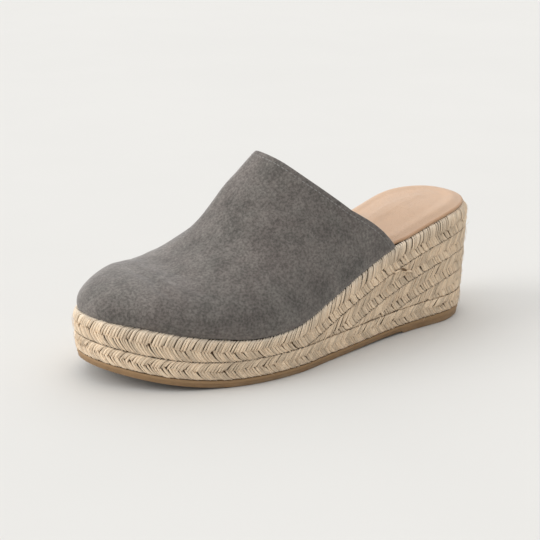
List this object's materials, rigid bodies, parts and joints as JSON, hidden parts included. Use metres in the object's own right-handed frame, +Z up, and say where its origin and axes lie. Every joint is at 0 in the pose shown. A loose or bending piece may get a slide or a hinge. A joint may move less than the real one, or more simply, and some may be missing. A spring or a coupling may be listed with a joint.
{
  "type": "wedge mule",
  "caption": "Left closed-toe wedge mule: suede upper open at the heel, padded footbed, braided jute wedge and thin rubber outsole.",
  "frame": {"origin": "middle of the shoe's box, on the floor that it stands on", "axes": "+X from toe to heel, +Y towards the inner (big toe) side of the foot, +Z up"},
  "size_m": [0.2444, 0.0972, 0.103],
  "materials": {
    "suede": "matte napped grey suede",
    "elastic": "matte grey woven elastic",
    "footbed_leather": "smooth satin tan leather",
    "jute": "matte natural braided jute",
    "rubber": "satin gum rubber"
  },
  "bodies": {
    "root": {"outsole": "rubber", "jute_row_1": "jute", "jute_row_2": "jute", "jute_row_3": "jute", "jute_row_4": "jute", "jute_row_5": "jute", "insole": "footbed_leather", "upper": "suede", "elastic_gore": "elastic"}
  },
  "joints": []
}
